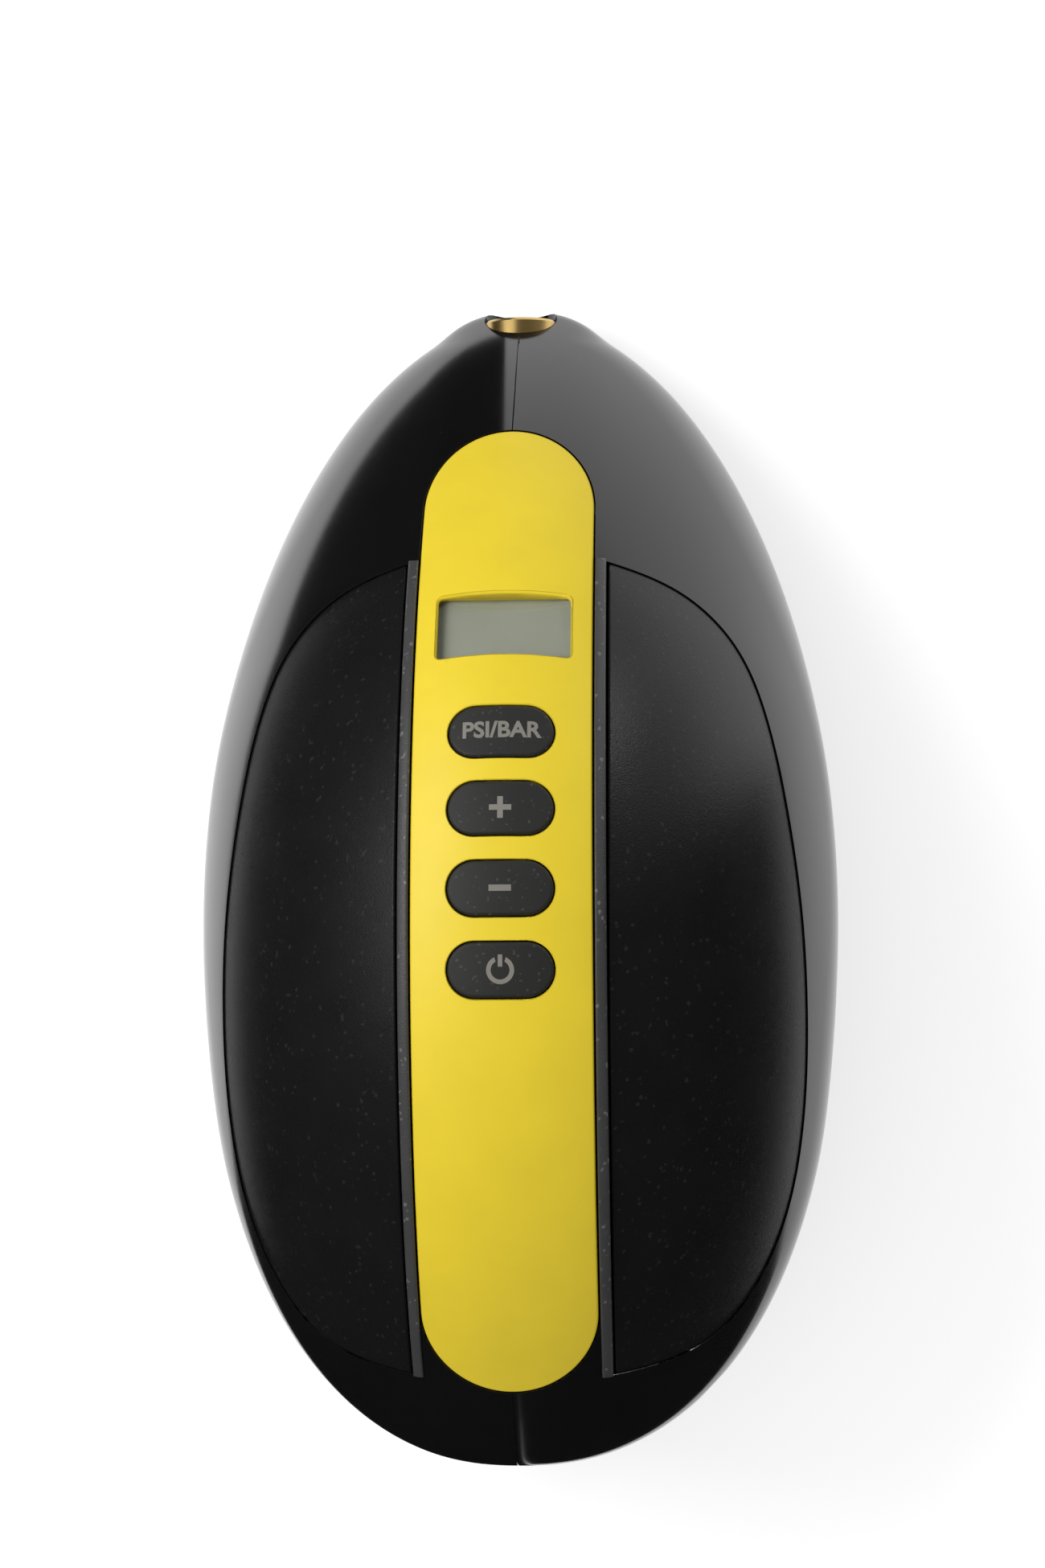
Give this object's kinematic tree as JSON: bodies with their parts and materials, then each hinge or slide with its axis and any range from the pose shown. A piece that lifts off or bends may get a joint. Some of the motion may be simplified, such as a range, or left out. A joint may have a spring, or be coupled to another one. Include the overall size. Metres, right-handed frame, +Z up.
{
  "type": "cordless inflator",
  "caption": "Domed cordless inflator for shocks and tyres, with a curved control strip, sprung keys, textured grips and a geared piston pump inside.",
  "frame": {"origin": "on the surface that the feet stand on, under the middle of the housing's outline", "axes": "+Z up, +Y towards the nose with the hose outlet, +X to the right hand when the keys are read"},
  "size_m": [0.1182, 0.2157, 0.1022],
  "materials": {
    "housing_shell": "polished black moulding",
    "grip_texture": "fine spark-eroded texture",
    "rail_texture": "grained soft-touch trim",
    "console_yellow": "satin moulded yellow",
    "display_window": "clear flat pane",
    "display_grey": "reflective grey-green panel",
    "key_grey": "satin dark grey",
    "board_green": "solder-masked board",
    "steel": "machined",
    "dark_steel": "zinc-plated black",
    "cast_aluminium": "die cast",
    "brass": "turned",
    "piston_nylon": "natural glass-filled nylon",
    "seal_rubber": "soft rubber",
    "tube_silicone": "translucent silicone",
    "magnet": "sintered ferrite",
    "cell_wrap": "shrink sleeve",
    "tray_black": "moulded"
  },
  "bodies": {
    "housing": {"housing_left": "housing_shell", "housing_right": "housing_shell", "grip_panel_left": "grip_texture", "grip_panel_right": "grip_texture", "side_rail_left": "rail_texture", "side_rail_right": "rail_texture", "console_strip": "console_yellow", "display_pane": "display_window", "display_module": "display_grey", "display_board": "board_green", "key_switches": "dark_steel", "control_board": "board_green", "board_screws": "steel", "housing_screws": "dark_steel", "rubber_feet": "seal_rubber", "pump_frame": "cast_aluminium", "frame_screws": "steel", "crank_bearings": "steel", "cylinder": "cast_aluminium", "head_gasket": "seal_rubber", "valve_plate": "steel", "reed_valve": "steel", "cylinder_head": "cast_aluminium", "head_bolts": "steel", "pressure_sensor": "dark_steel", "outlet_fitting": "brass", "air_tube": "tube_silicone", "motor_can": "steel", "motor_end_cap": "tray_black", "motor_magnets": "magnet", "motor_screws": "steel", "battery_cells": "cell_wrap", "battery_tray": "tray_black", "tray_screws": "steel", "cell_links": "steel", "charging_inlet": "tray_black"},
    "crank": {"crank_gear": "steel", "crank_shaft": "steel"},
    "motor_rotor": {"motor_pinion": "brass", "motor_shaft": "steel", "motor_armature": "dark_steel"},
    "piston_body": {"piston": "piston_nylon", "piston_seal": "seal_rubber", "wrist_pin": "steel"},
    "rod_body": {"connecting_rod": "piston_nylon", "rod_bearing": "steel", "crank_pin": "steel"},
    "button_power_body": {"button_power": "key_grey"},
    "button_minus_body": {"button_minus": "key_grey"},
    "button_plus_body": {"button_plus": "key_grey"},
    "button_units_body": {"button_units": "key_grey"}
  },
  "joints": [
    {"name": "button_power_press", "type": "slide", "parent": "housing", "child": "button_power_body", "axis": [0, -0.0652, -0.9979], "range_m": [0, 0.0008], "stiffness_N_per_m": 400, "springref_m": -0.002},
    {"name": "button_minus_press", "type": "slide", "parent": "housing", "child": "button_minus_body", "axis": [0, -0.1773, -0.9841], "range_m": [0, 0.0008], "stiffness_N_per_m": 400, "springref_m": -0.002},
    {"name": "button_plus_press", "type": "slide", "parent": "housing", "child": "button_plus_body", "axis": [0, -0.2872, -0.9579], "range_m": [0, 0.0008], "stiffness_N_per_m": 400, "springref_m": -0.002},
    {"name": "button_units_press", "type": "slide", "parent": "housing", "child": "button_units_body", "axis": [0, -0.3934, -0.9194], "range_m": [0, 0.0008], "stiffness_N_per_m": 400, "springref_m": -0.002},
    {"name": "crank_spin", "type": "hinge", "parent": "housing", "child": "crank", "pos_m": [0, 0, 0.033], "axis": [1, 0, 0], "continuous": true},
    {"name": "motor_spin", "type": "hinge", "parent": "housing", "child": "motor_rotor", "pos_m": [0, -0.026, 0.033], "axis": [1, 0, 0], "continuous": true},
    {"name": "piston_stroke", "type": "slide", "parent": "housing", "child": "piston_body", "axis": [0, 1, 0], "range_m": [0, 0.012]},
    {"name": "rod_swing", "type": "hinge", "parent": "piston_body", "child": "rod_body", "pos_m": [0.014, 0.028, 0.033], "axis": [1, 0, 0], "range_deg": [-10, 10]}
  ],
  "couplings": [
    {"joint": "motor_spin", "follows": "crank_spin", "ratio": -3.3333}
  ]
}
